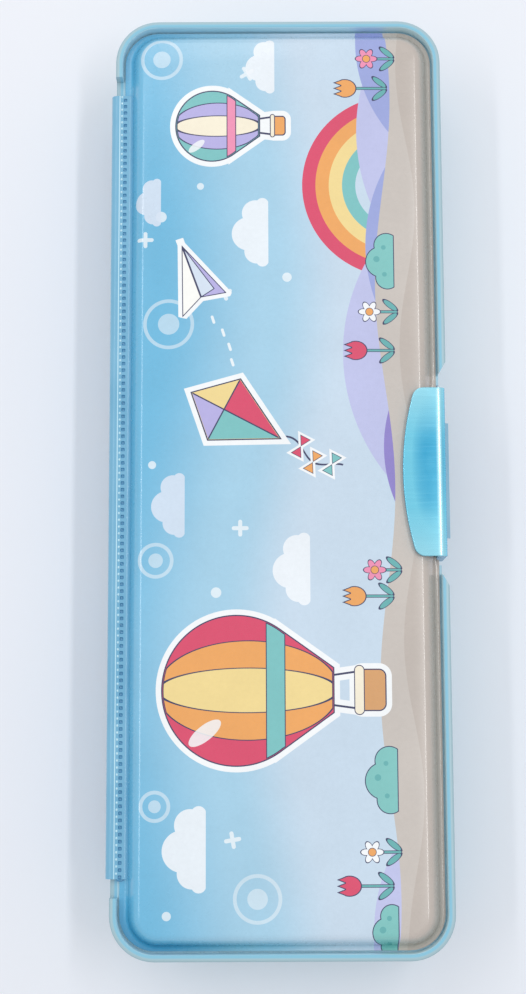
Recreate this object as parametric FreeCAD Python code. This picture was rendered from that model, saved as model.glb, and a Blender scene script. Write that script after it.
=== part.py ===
import FreeCAD, Part
import math
import os

# Plastic pencil box: a moulded case with a raised rim, a padded lid on a vinyl hinge, a magnetic clasp.
# Millimetres. +Z is up, -X is the hinge side, +X is the clasp side, Y runs along the box.
# The origin is on the table, under the middle of the case.

# Case
CASE_LENGTH = 238.0
CASE_WIDTH = 84.0
CASE_HEIGHT = 27.0
CASE_CORNER_RADIUS = 11.0
RIM_THICKNESS = 1.8
RIM_OVERHANG = 1.6
RIM_STEP_THICKNESS = 1.2
RIM_OUTER_ROUND = 0.8
RIM_INNER_ROUND = 0.45
LID_WELL_DEPTH = 3.8
WALL_THICKNESS = 1.9
FLOOR_THICKNESS = 2.0
BASE_EDGE_RADIUS = 2.2
CAVITY_EDGE_RADIUS = 1.5
UNDERSIDE_BORDER = 9.0
UNDERSIDE_DEPTH = 0.6
UNDERSIDE_CORNER_RADIUS = 6.0

# Compartments moulded into the case
PENCIL_BAY_WIDTH = 50.5
ERASER_BAY_LENGTH = 54.0
DIVIDER_THICKNESS = 1.2
DIVIDER_HEIGHT = 14.0

# Combs on the floor that hold the pencils apart
PENCIL_NOTCH_DIAMETER = 8.2
PENCIL_MOUTH_WIDTH = 7.2
PENCIL_LIFT = 5.0
PENCIL_GRIP = 2.9
COMB_TOOTH_WIDTH = 1.0
COMB_END_SETBACK = 49.5
COMB_THICKNESS = 2.2
COMB_FOOT_WIDTH = 8.0
COMB_FOOT_THICKNESS = 1.4
COMB_CLEARANCE = 0.15
COMB_RIB_THICKNESS = 1.2

# Lid: lining, board, foam and printed sheet under a clear film
LID_GAP = 0.5
LID_SEAT_GAP = 0.1
LID_FLANGE_WIDTH = 1.1
LINING_THICKNESS = 0.5
BOARD_THICKNESS = 1.2
PRINT_THICKNESS = 0.2
FILM_THICKNESS = 0.4
PILLOW_RISE = 4.4
PILLOW_CROWN = 0.8
PILLOW_EDGE_RADIUS = 3.4
PILLOW_HINGE_SETBACK = 4.2

# Vinyl hinge, riveted to the back wall
HINGE_END_SETBACK = 19.5
HINGE_NOTCH_MARGIN = 4.4
VINYL_THICKNESS = 0.9
HINGE_CLEARANCE = 0.3
HINGE_AXIS_ABOVE_SEAT = 2.4
HINGE_BEND_RADIUS = 1.15
HINGE_BEND_ANGLE = 65.0
HINGE_CREASE = 1.0
HINGE_SEAM_MARGIN = 0.5
SPINE_BOTTOM = 4.5
BATTEN_MARGIN = 0.6
BATTEN_HEIGHT = 7.0
RIVET_COUNT = 6
RIVET_SHANK_RADIUS = 1.4
RIVET_HEAD_RADIUS = 2.6
RIVET_HEAD_THICKNESS = 0.5
RIVET_TAIL_THICKNESS = 0.7
RIVET_HOLE_CLEARANCE = 0.05

# Clasp on the front edge of the lid
CLASP_LENGTH = 42.4
CLASP_REACH = 10.8
CLASP_BULGE = 3.2
CLASP_CORNER_RADIUS = 2.0
CLASP_BEND_RADIUS = 2.0
CLASP_FLARE = 0.3
CLASP_LID_GAP = 0.4
CLASP_WALL_GAP = 0.4
CAP_THICKNESS = 0.8
CORE_PLATE_THICKNESS = 0.9
CORE_SKIRT_THICKNESS = 1.6
POCKET_MARGIN = 1.8
POCKET_BELOW_TAB = 2.4
RIM_GAP_MARGIN = 4.2
RIM_GAP_TAPER = 3.0
LIFT_TAB_LENGTH = 30.0
LIFT_TAB_OVERHANG = 2.6
LIFT_TAB_SLOPE = 1.6
LIFT_TAB_LIP = 1.2
LIFT_TAB_UNDERCUT = 0.6
POST_COUNT = 3
POST_PITCH = 12.0
POST_RADIUS = 1.25
POST_SETBACK = 4.9
POST_HOLE_CLEARANCE = 0.05
POST_CAP_RADIUS = 2.2
POST_CAP_THICKNESS = 0.8

# Magnets in the clasp and the steel keeper that they pull against
MAGNET_COUNT = 2
MAGNET_LENGTH = 12.0
MAGNET_SPACE = 4.0
MAGNET_HEIGHT = 6.0
MAGNET_THICKNESS = 1.2
MAGNET_BELOW_SEAT = 2.0
MAGNET_ABOVE_SKIRT_EDGE = 0.8
KEEPER_MARGIN = 1.0
KEEPER_THICKNESS = 0.8

# Overshoot of a cutting tool past the face that it cuts, and the slack in comparing places
CUT = 5.0
TINY = 1e-6


def grown(span, by):
    """A (low, high) pair moved out by the same amount at both ends."""
    return (span[0] - by, span[1] + by)


def centred(length):
    """A (low, high) pair of that length about zero."""
    return (-length / 2, length / 2)


def spread(count, pitch):
    """Evenly spaced places about zero."""
    return [pitch * (i - (count - 1) / 2) for i in range(count)]


# Plan of the case, from the rim inwards
RIM_X = centred(CASE_WIDTH)
RIM_Y = centred(CASE_LENGTH)
WELL_X = grown(RIM_X, -RIM_THICKNESS)
WELL_Y = grown(RIM_Y, -RIM_THICKNESS)
WALL_X = grown(RIM_X, -RIM_OVERHANG)
WALL_Y = grown(RIM_Y, -RIM_OVERHANG)
CAVITY_X = grown(WALL_X, -WALL_THICKNESS)
CAVITY_Y = grown(WALL_Y, -WALL_THICKNESS)
WELL_CORNER = CASE_CORNER_RADIUS - RIM_THICKNESS
WALL_CORNER = CASE_CORNER_RADIUS - RIM_OVERHANG
CAVITY_CORNER = WALL_CORNER - WALL_THICKNESS
SEAT_Z = CASE_HEIGHT - LID_WELL_DEPTH
STEP_Z = SEAT_Z - RIM_STEP_THICKNESS

# Compartments and combs
DIVIDER_X = (CAVITY_X[0] + PENCIL_BAY_WIDTH, CAVITY_X[0] + PENCIL_BAY_WIDTH + DIVIDER_THICKNESS)
DIVIDER_Z = (FLOOR_THICKNESS, FLOOR_THICKNESS + DIVIDER_HEIGHT)
COMB_X = grown((CAVITY_X[0], DIVIDER_X[0]), -COMB_CLEARANCE - CAVITY_EDGE_RADIUS)
COMB_YS = grown(CAVITY_Y, -COMB_END_SETBACK)
PENCIL_RADIUS = PENCIL_NOTCH_DIAMETER / 2
PENCIL_Z = FLOOR_THICKNESS + PENCIL_LIFT + PENCIL_RADIUS
PENCIL_PITCH = PENCIL_NOTCH_DIAMETER + COMB_TOOTH_WIDTH
PENCIL_COUNT = int((COMB_X[1] - COMB_X[0] - COMB_TOOTH_WIDTH) / PENCIL_PITCH)

# Lid, from the ledge up
LID_BOTTOM_Z = SEAT_Z + LID_SEAT_GAP
LINING_TOP_Z = LID_BOTTOM_Z + LINING_THICKNESS
FLANGE_TOP_Z = LINING_TOP_Z + FILM_THICKNESS
PILLOW_TOP_Z = FLANGE_TOP_Z + PILLOW_RISE
LID_X = grown(WELL_X, -LID_GAP)
LID_Y = grown(WELL_Y, -LID_GAP)
LID_CORNER = WELL_CORNER - LID_GAP
PILLOW_X = (RIM_X[0] + PILLOW_HINGE_SETBACK, LID_X[1] - LID_FLANGE_WIDTH)
PILLOW_Y = grown(LID_Y, -LID_FLANGE_WIDTH)
PILLOW_CORNER = LID_CORNER - LID_FLANGE_WIDTH
PILLOW_MIDDLE_X = (PILLOW_X[0] + PILLOW_X[1]) / 2
PILLOW_HALF_X = (PILLOW_X[1] - PILLOW_X[0]) / 2
CROWN_RADIUS = (PILLOW_HALF_X**2 + PILLOW_CROWN**2) / (2 * PILLOW_CROWN)

# Hinge: the vinyl hangs just outside the rim line
HINGE_Y = grown(RIM_Y, -HINGE_END_SETBACK)
SPINE_X = (RIM_X[0] - HINGE_CLEARANCE - VINYL_THICKNESS, RIM_X[0] - HINGE_CLEARANCE)
HINGE_AXIS_X = (SPINE_X[0] + SPINE_X[1]) / 2
HINGE_AXIS_Z = SEAT_Z + HINGE_AXIS_ABOVE_SEAT
LID_TAB_X = SPINE_X[1] + HINGE_CREASE
SHOULDER_Z = FLANGE_TOP_Z + VINYL_THICKNESS / 2 - HINGE_BEND_RADIUS
BATTEN_Z = (SPINE_BOTTOM + BATTEN_MARGIN, SPINE_BOTTOM + BATTEN_MARGIN + BATTEN_HEIGHT)
RIVET_Z = (BATTEN_Z[0] + BATTEN_Z[1]) / 2
RIVET_YS = spread(RIVET_COUNT, (HINGE_Y[1] - HINGE_Y[0]) / RIVET_COUNT)

# Clasp, from the lid's edge outwards
CLASP_Y = centred(CLASP_LENGTH)
CORE_INNER_X = PILLOW_X[1] + CLASP_LID_GAP
SKIRT_X = CORE_INNER_X + CORE_SKIRT_THICKNESS + CAP_THICKNESS
CLASP_EDGE_X = SKIRT_X - CLASP_REACH
PLATE_SINK = CROWN_RADIUS - math.sqrt(CROWN_RADIUS**2 - (CLASP_EDGE_X - PILLOW_MIDDLE_X) ** 2)
PLATE_BOTTOM_Z = PILLOW_TOP_Z - PLATE_SINK
CLASP_TOP_Z = PLATE_BOTTOM_Z + CORE_PLATE_THICKNESS + CAP_THICKNESS
MAGNET_Z = (SEAT_Z - MAGNET_BELOW_SEAT - MAGNET_HEIGHT, SEAT_Z - MAGNET_BELOW_SEAT)
SKIRT_BOTTOM_Z = MAGNET_Z[0] - MAGNET_ABOVE_SKIRT_EDGE
TAB_BOTTOM_Z = SKIRT_BOTTOM_Z - LIFT_TAB_SLOPE - LIFT_TAB_LIP - LIFT_TAB_UNDERCUT
TAB_X = SKIRT_X + LIFT_TAB_OVERHANG
POST_X = PILLOW_X[1] - POST_SETBACK
POST_YS = spread(POST_COUNT, POST_PITCH)
MAGNET_YS = spread(MAGNET_COUNT, MAGNET_LENGTH + MAGNET_SPACE)

# Pocket for the clasp in the front wall, and the keeper in its back face
POCKET_X = CORE_INNER_X - CLASP_WALL_GAP
POCKET_Y = grown(CLASP_Y, POCKET_MARGIN)
POCKET_BOTTOM_Z = TAB_BOTTOM_Z - POCKET_BELOW_TAB
KEEPER_X = (POCKET_X - KEEPER_THICKNESS, POCKET_X)
KEEPER_Y = grown((MAGNET_YS[0], MAGNET_YS[-1]), MAGNET_LENGTH / 2 + KEEPER_MARGIN)
KEEPER_Z = grown(MAGNET_Z, KEEPER_MARGIN)


def block(x, y, z):
    """A box between three (low, high) pairs."""
    corner = FreeCAD.Vector(x[0], y[0], z[0])
    return Part.makeBox(x[1] - x[0], y[1] - y[0], z[1] - z[0], corner)


def upright_edges(shape):
    """The edges of a shape that run straight up."""
    found = []
    for edge in shape.Edges:
        run = edge.Vertexes[-1].Point - edge.Vertexes[0].Point
        if math.hypot(run.x, run.y) < TINY < abs(run.z):
            found.append(edge)
    return found


def rounded_block(x, y, z, radius):
    """A box whose four upright edges are rounded."""
    shape = block(x, y, z)
    return shape.makeFillet(radius, upright_edges(shape))


def prism(points, direction):
    """A closed outline of (x, y, z) points pushed along a vector."""
    vectors = [FreeCAD.Vector(*p) for p in points]
    face = Part.Face(Part.makePolygon(vectors + vectors[:1]))
    return face.extrude(FreeCAD.Vector(*direction))


def disc(radius, start, direction, length):
    """A cylinder from a start point along a direction."""
    return Part.makeCylinder(radius, length, FreeCAD.Vector(*start), FreeCAD.Vector(*direction))


def level_edges(shape, z):
    """The edges of a shape that lie wholly at one height."""
    return [e for e in shape.Edges if all(abs(v.Z - z) < TINY for v in e.Vertexes)]


def fused(shapes):
    """Several touching shapes as one solid."""
    return shapes[0].multiFuse(shapes[1:]).removeSplitter()


def case_shell():
    """Floor, walls and raised rim, before anything is cut out of the sides."""
    wall = rounded_block(WALL_X, WALL_Y, (0, SEAT_Z), WALL_CORNER)
    wall = wall.makeFillet(BASE_EDGE_RADIUS, level_edges(wall, 0))
    rim = rounded_block(RIM_X, RIM_Y, (STEP_Z, CASE_HEIGHT), CASE_CORNER_RADIUS)
    rim = rim.makeFillet(RIM_OUTER_ROUND, level_edges(rim, CASE_HEIGHT))
    well = rounded_block(WELL_X, WELL_Y, (SEAT_Z, CASE_HEIGHT), WELL_CORNER)
    cavity = rounded_block(CAVITY_X, CAVITY_Y, (FLOOR_THICKNESS, SEAT_Z), CAVITY_CORNER)
    cavity = cavity.makeFillet(CAVITY_EDGE_RADIUS, level_edges(cavity, FLOOR_THICKNESS))
    shell = fused([wall, rim]).cut(well).cut(cavity)
    mouth = Part.makeCompound(level_edges(well, CASE_HEIGHT))
    inner = [e for e in level_edges(shell, CASE_HEIGHT) if e.distToShape(mouth)[0] < TINY]
    return shell.makeFillet(RIM_INNER_ROUND, inner)


def compartment_walls():
    """The long divider, the eraser bay's cross wall, and the ribs that locate the pencil combs."""
    long_wall = block(DIVIDER_X, CAVITY_Y, DIVIDER_Z)
    cross_y = CAVITY_Y[0] + ERASER_BAY_LENGTH
    cross_wall = block((DIVIDER_X[1], CAVITY_X[1]), (cross_y, cross_y + DIVIDER_THICKNESS), DIVIDER_Z)
    ribs = []
    rib_x = (CAVITY_X[0], DIVIDER_X[0])
    rib_z = (FLOOR_THICKNESS, FLOOR_THICKNESS + COMB_FOOT_THICKNESS)
    reach = COMB_FOOT_WIDTH / 2 + COMB_CLEARANCE
    for comb_y in COMB_YS:
        for low in (comb_y - reach - COMB_RIB_THICKNESS, comb_y + reach):
            ribs.append(block(rib_x, (low, low + COMB_RIB_THICKNESS), rib_z))
    return [long_wall, cross_wall] + ribs


def clasp_recess():
    """The thicker stretch of front wall that the clasp's pocket is cut into."""
    x = (POCKET_X - WALL_THICKNESS, WALL_X[1])
    return block(x, grown(POCKET_Y, WALL_THICKNESS), (FLOOR_THICKNESS, SEAT_Z))


def rim_gap():
    """The stretch of rim left out at the clasp, with tapered ends; the wall below the ledge stays."""
    inner = grown(CLASP_Y, RIM_GAP_MARGIN)
    outer = grown(inner, RIM_GAP_TAPER)
    outline = [
        (WELL_X[1], inner[0], STEP_Z),
        (RIM_X[1], outer[0], STEP_Z),
        (RIM_X[1], outer[1], STEP_Z),
        (WELL_X[1], inner[1], STEP_Z),
    ]
    gap = prism(outline, (0, 0, CASE_HEIGHT - STEP_Z))
    return gap.cut(block((WELL_X[1] - CUT, WALL_X[1]), outer, (STEP_Z, SEAT_Z)))


def rivet_holes():
    """Holes for the hinge rivets, through vinyl, batten and wall."""
    radius = RIVET_SHANK_RADIUS + RIVET_HOLE_CLEARANCE
    start = SPINE_X[0] - CUT
    length = CAVITY_X[0] + CUT - start
    return Part.makeCompound([disc(radius, (start, y, RIVET_Z), (1, 0, 0), length) for y in RIVET_YS])


def case_tray():
    """The moulded case, one piece."""
    solid = fused([case_shell(), clasp_recess()] + compartment_walls())
    above = CASE_HEIGHT + CUT
    hinge_notch = block((RIM_X[0] - CUT, WELL_X[0]), grown(HINGE_Y, HINGE_NOTCH_MARGIN), (SEAT_Z, above))
    pocket = block((POCKET_X, RIM_X[1] + CUT), POCKET_Y, (POCKET_BOTTOM_Z, above))
    underside_x = grown(WALL_X, -UNDERSIDE_BORDER)
    underside_y = grown(WALL_Y, -UNDERSIDE_BORDER)
    underside = rounded_block(underside_x, underside_y, (-CUT, UNDERSIDE_DEPTH), UNDERSIDE_CORNER_RADIUS)
    for cutter in (hinge_notch, rim_gap(), pocket, keeper_plate(), underside, rivet_holes()):
        solid = solid.cut(cutter)
    return solid.removeSplitter()


def keeper_plate():
    """Steel strip let into the front wall, behind the clasp."""
    return block(KEEPER_X, KEEPER_Y, KEEPER_Z)


def pencil_comb(y):
    """One comb: a foot on the floor and an upright plate with a snap notch for each pencil."""
    foot_y = (y - COMB_FOOT_WIDTH / 2, y + COMB_FOOT_WIDTH / 2)
    plate_y = (y - COMB_THICKNESS / 2, y + COMB_THICKNESS / 2)
    top = PENCIL_Z + PENCIL_GRIP
    foot = block(COMB_X, foot_y, (FLOOR_THICKNESS, FLOOR_THICKNESS + COMB_FOOT_THICKNESS))
    plate = block(COMB_X, plate_y, (FLOOR_THICKNESS, top))
    middle = (COMB_X[0] + COMB_X[1]) / 2
    comb = fused([foot, plate])
    for place in spread(PENCIL_COUNT, PENCIL_PITCH):
        x = middle + place
        mouth = (x - PENCIL_MOUTH_WIDTH / 2, x + PENCIL_MOUTH_WIDTH / 2)
        comb = comb.cut(disc(PENCIL_RADIUS, (x, plate_y[0], PENCIL_Z), (0, 1, 0), COMB_THICKNESS))
        comb = comb.cut(block(mouth, plate_y, (PENCIL_Z, top)))
    return comb


def post_holes():
    """Holes through the lid for the clasp's posts."""
    radius = POST_RADIUS + POST_HOLE_CLEARANCE
    start = LID_BOTTOM_Z - CUT
    depth = PILLOW_TOP_Z + CUT - start
    return Part.makeCompound([disc(radius, (POST_X, y, start), (0, 0, 1), depth) for y in POST_YS])


def lid_sheet(z):
    """A flat sheet of the lid's outline, with its hinge tab and the cut-out under the clasp."""
    sheet = rounded_block(LID_X, LID_Y, z, LID_CORNER)
    tab = block((LID_TAB_X, PILLOW_X[0]), HINGE_Y, z)
    notch = block((PILLOW_X[1], LID_X[1] + CUT), grown(CLASP_Y, LID_GAP), z)
    return fused([sheet, tab]).cut(notch)


def pillow(inset):
    """The padded part of the lid, crowned and round-edged, shrunk on its sides and top by an inset."""
    x = grown(PILLOW_X, -inset)
    y = grown(PILLOW_Y, -inset)
    radius = CROWN_RADIUS - inset
    axis_z = PILLOW_TOP_Z - CROWN_RADIUS
    side_z = axis_z + math.sqrt(radius**2 - (PILLOW_HALF_X - inset) ** 2)
    left = FreeCAD.Vector(x[0], y[0], side_z)
    right = FreeCAD.Vector(x[1], y[0], side_z)
    arc = Part.Arc(left, FreeCAD.Vector(PILLOW_MIDDLE_X, y[0], axis_z + radius), right).toShape()
    foot_right = FreeCAD.Vector(x[1], y[0], LINING_TOP_Z)
    foot_left = FreeCAD.Vector(x[0], y[0], LINING_TOP_Z)
    sides = Part.makePolygon([right, foot_right, foot_left, left])
    body = Part.Face(Part.Wire([arc] + sides.Edges)).extrude(FreeCAD.Vector(0, y[1] - y[0], 0))
    body = body.makeFillet(PILLOW_CORNER - inset, upright_edges(body))
    top = max(body.Faces, key=lambda face: face.CenterOfMass.z)
    return body.makeFillet(PILLOW_EDGE_RADIUS - inset, top.Edges)


def lid_film():
    """Clear film formed over the padding and welded flat round its edge."""
    outside = fused([lid_sheet((LINING_TOP_Z, FLANGE_TOP_Z)), pillow(0)])
    return outside.cut(pillow(FILM_THICKNESS)).cut(post_holes())


def lid_print():
    """Printed sheet under the film."""
    return pillow(FILM_THICKNESS).cut(pillow(FILM_THICKNESS + PRINT_THICKNESS)).cut(post_holes())


def board_slab():
    """The height range of the stiffening board, as a block larger than the lid."""
    return block(grown(RIM_X, CUT), grown(RIM_Y, CUT), (LINING_TOP_Z, LINING_TOP_Z + BOARD_THICKNESS))


def lid_board():
    """Stiff board that keeps the lid flat."""
    return pillow(FILM_THICKNESS + PRINT_THICKNESS).common(board_slab()).cut(post_holes())


def lid_foam():
    """Foam pad over the board."""
    return pillow(FILM_THICKNESS + PRINT_THICKNESS).cut(board_slab()).cut(post_holes())


def lid_lining():
    """Vinyl lining on the inside of the lid."""
    return lid_sheet((LID_BOTTOM_Z, LINING_TOP_Z)).cut(post_holes())


def hinge_flange():
    """The hinge vinyl where it is welded on the lid's hinge tab."""
    x = (LID_TAB_X, PILLOW_X[0] - HINGE_SEAM_MARGIN)
    return block(x, HINGE_Y, (FLANGE_TOP_Z, FLANGE_TOP_Z + VINYL_THICKNESS))


def hinge_spine():
    """The hinge vinyl from the back wall up to the crease, with its rounded shoulder."""
    upright = block(SPINE_X, HINGE_Y, (SPINE_BOTTOM, SHOULDER_Z))
    end_face = max(upright.Faces, key=lambda face: face.CenterOfMass.z)
    bend_centre = FreeCAD.Vector(HINGE_AXIS_X + HINGE_BEND_RADIUS, 0, SHOULDER_Z)
    shoulder = end_face.revolve(bend_centre, FreeCAD.Vector(0, 1, 0), HINGE_BEND_ANGLE)
    return fused([upright, shoulder]).cut(rivet_holes())


def hinge_batten():
    """Strip between the vinyl and the back wall that the rivets pull tight."""
    return block((SPINE_X[1], WALL_X[0]), HINGE_Y, BATTEN_Z).cut(rivet_holes())


def hinge_rivets():
    """Rivets through vinyl, batten and wall, each with an outer head and an inner tail."""
    rivets = []
    along = (1, 0, 0)
    head_x = SPINE_X[0] - RIVET_HEAD_THICKNESS
    for y in RIVET_YS:
        head = disc(RIVET_HEAD_RADIUS, (head_x, y, RIVET_Z), along, RIVET_HEAD_THICKNESS)
        shank = disc(RIVET_SHANK_RADIUS, (SPINE_X[0], y, RIVET_Z), along, CAVITY_X[0] - SPINE_X[0])
        tail = disc(RIVET_HEAD_RADIUS, (CAVITY_X[0], y, RIVET_Z), along, RIVET_TAIL_THICKNESS)
        rivets.append(fused([head, shank, tail]))
    return Part.makeCompound(rivets)


def clasp_plan(inset):
    """The clasp's outline from above, as an upright solid: a bowed inner edge and square ends."""
    half = CLASP_LENGTH / 2 - inset
    middle = CLASP_EDGE_X + inset
    corner = middle + CLASP_BULGE
    outer = SKIRT_X + CUT
    low = FreeCAD.Vector(corner, -half, 0)
    high = FreeCAD.Vector(corner, half, 0)
    bow = Part.Arc(low, FreeCAD.Vector(middle, 0, 0), high).toShape()
    sides = Part.makePolygon([high, FreeCAD.Vector(outer, half, 0), FreeCAD.Vector(outer, -half, 0), low])
    solid = Part.Face(Part.Wire([bow] + sides.Edges)).extrude(FreeCAD.Vector(0, 0, CLASP_TOP_Z))
    corners = [e for e in upright_edges(solid) if abs(e.CenterOfMass.x - corner) < TINY]
    return solid.makeFillet(CLASP_CORNER_RADIUS - inset, corners)


def clasp_body(inset):
    """Cap and core together, a plate bent down over the lid's edge, shrunk on its outer faces."""
    top = CLASP_TOP_Z - inset
    skirt = SKIRT_X - inset
    bend = CLASP_BEND_RADIUS - inset
    left = CLASP_EDGE_X - CUT
    y = CLASP_Y[0]
    chord = bend * math.sqrt(0.5)
    bend_start = FreeCAD.Vector(skirt - bend, y, top)
    bend_middle = FreeCAD.Vector(skirt - bend + chord, y, top - bend + chord)
    bend_end = FreeCAD.Vector(skirt, y, top - bend)
    arc = Part.Arc(bend_start, bend_middle, bend_end).toShape()
    sides = Part.makePolygon([
        bend_end,
        FreeCAD.Vector(skirt + CLASP_FLARE, y, SKIRT_BOTTOM_Z),
        FreeCAD.Vector(CORE_INNER_X, y, SKIRT_BOTTOM_Z),
        FreeCAD.Vector(CORE_INNER_X, y, PLATE_BOTTOM_Z),
        FreeCAD.Vector(left, y, PLATE_BOTTOM_Z),
        FreeCAD.Vector(left, y, top),
        bend_start,
    ])
    profile = Part.Face(Part.Wire([arc] + sides.Edges))
    return profile.extrude(FreeCAD.Vector(0, CLASP_LENGTH, 0)).common(clasp_plan(inset))


def clasp_cap():
    """Plated shell that shows on the outside of the clasp."""
    return clasp_body(0).cut(clasp_body(CAP_THICKNESS))


def lift_tab():
    """Finger lip below the cap, flaring out from the wall."""
    y = -LIFT_TAB_LENGTH / 2
    lip_z = SKIRT_BOTTOM_Z - LIFT_TAB_SLOPE
    outline = [
        (CORE_INNER_X, y, SKIRT_BOTTOM_Z),
        (SKIRT_X - CAP_THICKNESS + CLASP_FLARE, y, SKIRT_BOTTOM_Z),
        (TAB_X, y, lip_z),
        (TAB_X, y, lip_z - LIFT_TAB_LIP),
        (CORE_INNER_X, y, TAB_BOTTOM_Z),
    ]
    return prism(outline, (0, LIFT_TAB_LENGTH, 0))


def clasp_core():
    """Moulded core inside the cap, with the lift tab, the magnet pockets and posts into the lid."""
    foot_z = LID_BOTTOM_Z - POST_CAP_THICKNESS
    length = PLATE_BOTTOM_Z - foot_z
    posts = [disc(POST_RADIUS, (POST_X, y, foot_z), (0, 0, 1), length) for y in POST_YS]
    return fused([clasp_body(CAP_THICKNESS), lift_tab()] + posts).cut(clasp_magnets())


def clasp_magnets():
    """Bar magnets set flush in the back of the core."""
    x = (CORE_INNER_X, CORE_INNER_X + MAGNET_THICKNESS)
    half = MAGNET_LENGTH / 2
    return Part.makeCompound([block(x, (y - half, y + half), MAGNET_Z) for y in MAGNET_YS])


def clasp_post_caps():
    """Push-on washers that hold the clasp's posts inside the lid."""
    caps = []
    low = LID_BOTTOM_Z - POST_CAP_THICKNESS
    for y in POST_YS:
        washer = disc(POST_CAP_RADIUS, (POST_X, y, low), (0, 0, 1), POST_CAP_THICKNESS)
        caps.append(washer.cut(disc(POST_RADIUS, (POST_X, y, low), (0, 0, 1), POST_CAP_THICKNESS)))
    return Part.makeCompound(caps)


PIECES = {
    "case_tray": case_tray,
    "keeper_plate": keeper_plate,
    "pencil_comb_near": lambda: pencil_comb(COMB_YS[0]),
    "pencil_comb_far": lambda: pencil_comb(COMB_YS[1]),
    "hinge_spine": hinge_spine,
    "hinge_batten": hinge_batten,
    "hinge_rivets": hinge_rivets,
    "hinge_flange": hinge_flange,
    "lid_film": lid_film,
    "lid_print": lid_print,
    "lid_foam": lid_foam,
    "lid_board": lid_board,
    "lid_lining": lid_lining,
    "clasp_cap": clasp_cap,
    "clasp_core": clasp_core,
    "clasp_magnets": clasp_magnets,
    "clasp_post_caps": clasp_post_caps,
}


def main():
    os.makedirs("parts", exist_ok=True)
    for name, make in PIECES.items():
        shape = make()
        shape.exportStep(f"parts/{name}.step")
        print(f"{name}: {len(shape.Solids)} solid(s), {shape.Volume:.1f} mm3, valid {shape.isValid()}")
    print(f"hinge axis at x {HINGE_AXIS_X:.2f}, z {HINGE_AXIS_Z:.2f}")


main()
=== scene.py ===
import json
import math

import bpy
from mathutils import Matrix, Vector


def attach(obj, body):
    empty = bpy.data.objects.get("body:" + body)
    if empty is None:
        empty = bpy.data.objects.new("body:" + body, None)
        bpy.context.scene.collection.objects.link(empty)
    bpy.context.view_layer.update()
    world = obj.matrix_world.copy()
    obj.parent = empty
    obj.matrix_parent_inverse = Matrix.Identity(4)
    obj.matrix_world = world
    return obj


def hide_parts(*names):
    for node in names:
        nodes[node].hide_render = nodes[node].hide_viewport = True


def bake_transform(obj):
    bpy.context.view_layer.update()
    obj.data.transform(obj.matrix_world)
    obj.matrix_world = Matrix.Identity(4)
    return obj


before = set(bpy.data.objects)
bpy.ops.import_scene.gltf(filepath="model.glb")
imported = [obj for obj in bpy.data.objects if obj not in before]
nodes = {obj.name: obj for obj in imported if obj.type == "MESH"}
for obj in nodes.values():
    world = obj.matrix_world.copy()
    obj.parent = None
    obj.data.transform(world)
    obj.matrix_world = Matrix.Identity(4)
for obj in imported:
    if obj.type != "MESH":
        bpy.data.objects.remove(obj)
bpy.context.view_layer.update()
mm = 0.001
close = 0.01  # millimetres within which two places count as one
print("frame loaded:", len(nodes), "CAD nodes")


# general modelling helpers, all sizes in millimetres

def setMode(name):
    bpy.ops.object.mode_set(mode=name)


def deselectAll():
    if bpy.context.object and bpy.context.object.mode != "OBJECT":
        setMode("OBJECT")
    bpy.ops.object.select_all(action="DESELECT")


def makeActive(piece):
    deselectAll()
    piece.select_set(True)
    bpy.context.view_layer.objects.active = piece


def applyPlace(piece):
    makeActive(piece)
    bpy.ops.object.transform_apply(location=True, rotation=True, scale=True)


def addBlock(name, x, y, z):
    deselectAll()
    middle = [(span[0] + span[1]) / 2 * mm for span in (x, y, z)]
    bpy.ops.mesh.primitive_cube_add(size=1, location=middle)
    piece = bpy.context.object
    piece.name = piece.data.name = name
    piece.scale = [(span[1] - span[0]) * mm for span in (x, y, z)]
    applyPlace(piece)
    return piece


def metres(values):
    return [value * mm for value in values]


def times(size, values):
    return [value * size for value in values]


# selects the active piece's edges by a test on their ends, or its faces by one on middle and normal
def pick(kind, test):
    piece = bpy.context.object
    setMode("EDIT")
    bpy.ops.mesh.select_mode(type={"edges": "EDGE", "faces": "FACE"}[kind])
    bpy.ops.mesh.select_all(action="DESELECT")
    setMode("OBJECT")
    mesh = piece.data
    if kind == "edges":
        for edge in mesh.edges:
            ends = [mesh.vertices[index].co / mm for index in edge.vertices]
            edge.select = bool(test(*ends))
    else:
        for face in mesh.polygons:
            face.select = bool(test(face.center / mm, face.normal))
    setMode("EDIT")


# rounds the picked edges
def bevelEdges(offset, steps):
    bpy.ops.mesh.bevel(offset=offset * mm, segments=steps, affect="EDGES")
    setMode("OBJECT")


def isUpright(a, b):
    return abs(a.z - b.z) > 1 and (a - b).xy.length < close


def bisectAt(piece, axis, places):
    makeActive(piece)
    setMode("EDIT")
    normal = [1.0 if axis == index else 0.0 for index in range(3)]
    for place in places:
        bpy.ops.mesh.select_all(action="SELECT")
        bpy.ops.mesh.bisect(plane_co=[value * place * mm for value in normal], plane_no=normal)
    setMode("OBJECT")


# draws the picked faces or edges out along x and z
def extrude(x, z):
    bpy.ops.mesh.extrude_region_move(TRANSFORM_OT_translate={"value": (x * mm, 0, z * mm)})


def spacedCuts(low, high, step):
    count = max(2, round((high - low) / step))
    return [low + (high - low) * index / count for index in range(1, count)]


def addModifier(piece, kind, **settings):
    makeActive(piece)
    modifier = piece.modifiers.new(kind.lower(), kind)
    for key, value in settings.items():
        setattr(modifier, key, value)
    bpy.ops.object.modifier_apply(modifier=modifier.name)


def combine(piece, other, operation):
    addModifier(piece, "BOOLEAN", operation=operation, object=other, solver="EXACT")
    bpy.data.objects.remove(other)


def mergeClose(piece, distance=0.002):
    makeActive(piece)
    setMode("EDIT")
    bpy.ops.mesh.select_all(action="SELECT")
    bpy.ops.mesh.remove_doubles(threshold=distance * mm)
    bpy.ops.mesh.normals_make_consistent(inside=False)
    setMode("OBJECT")


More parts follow.
